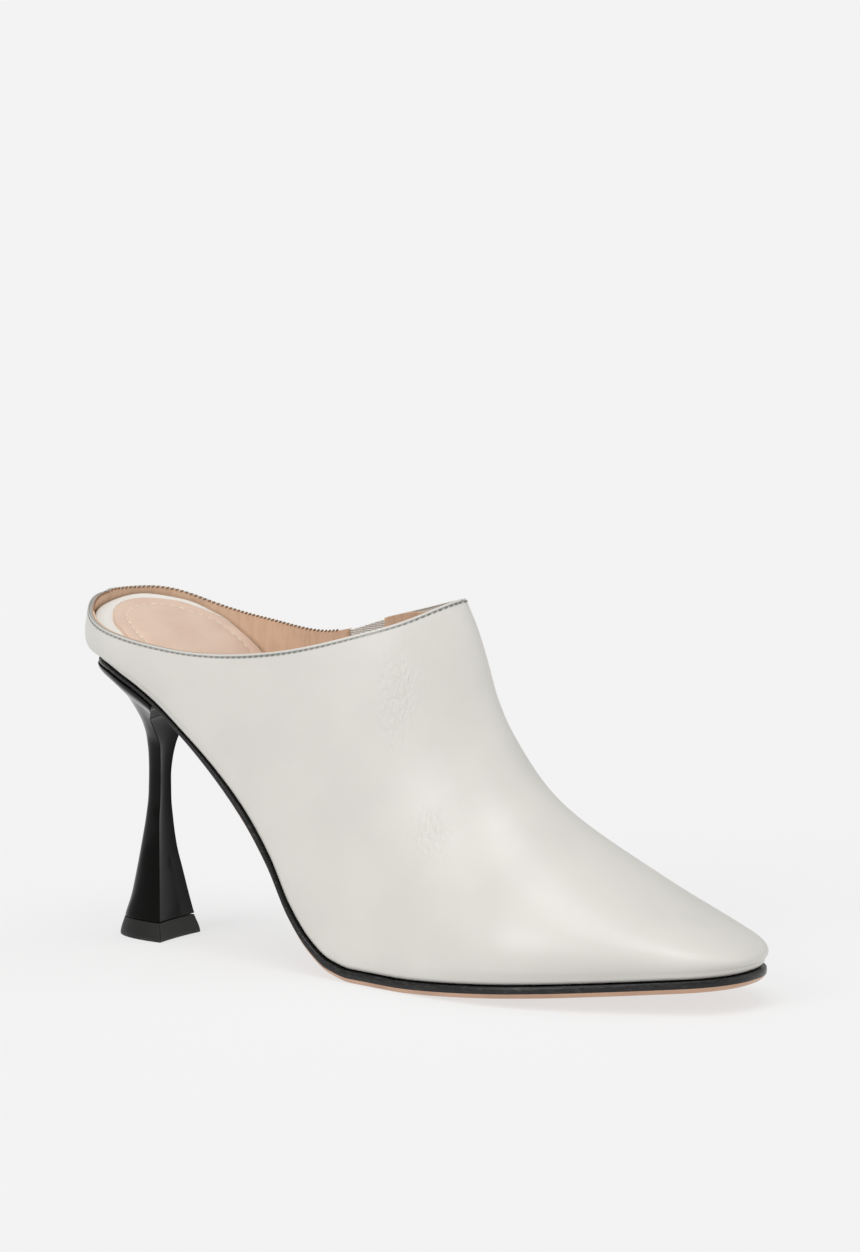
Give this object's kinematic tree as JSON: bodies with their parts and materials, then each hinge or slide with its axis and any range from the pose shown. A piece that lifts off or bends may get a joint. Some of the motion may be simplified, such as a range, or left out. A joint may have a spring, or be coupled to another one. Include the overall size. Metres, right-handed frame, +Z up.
{
  "type": "heeled mule",
  "caption": "Right heeled mule: a closed toe, a low back edge, a high pointed topline and a flared heel with a flat breast.",
  "frame": {"origin": "on the floor, in the middle of the flat part of the forefoot's tread", "axes": "+X towards the toe, +Y towards the medial (inner) side, +Z up from the floor the shoe stands on"},
  "size_m": [0.2313, 0.0779, 0.1132],
  "materials": {
    "upper_leather": "smooth off-white, soft sheen",
    "gusset_elastic": "woven elastic, matte",
    "sole_leather": "tan with a black painted edge",
    "insole_leather": "smooth white, matte",
    "sock_leather": "soft padded, matte",
    "heel_gloss": "black gloss lacquer",
    "tip_rubber": "matte black"
  },
  "bodies": {
    "root": {"upper": "upper_leather", "elastic_gusset": "gusset_elastic", "outsole": "sole_leather", "insole": "insole_leather", "heel_sock": "sock_leather", "heel": "heel_gloss", "heel_tip": "tip_rubber"}
  },
  "joints": []
}
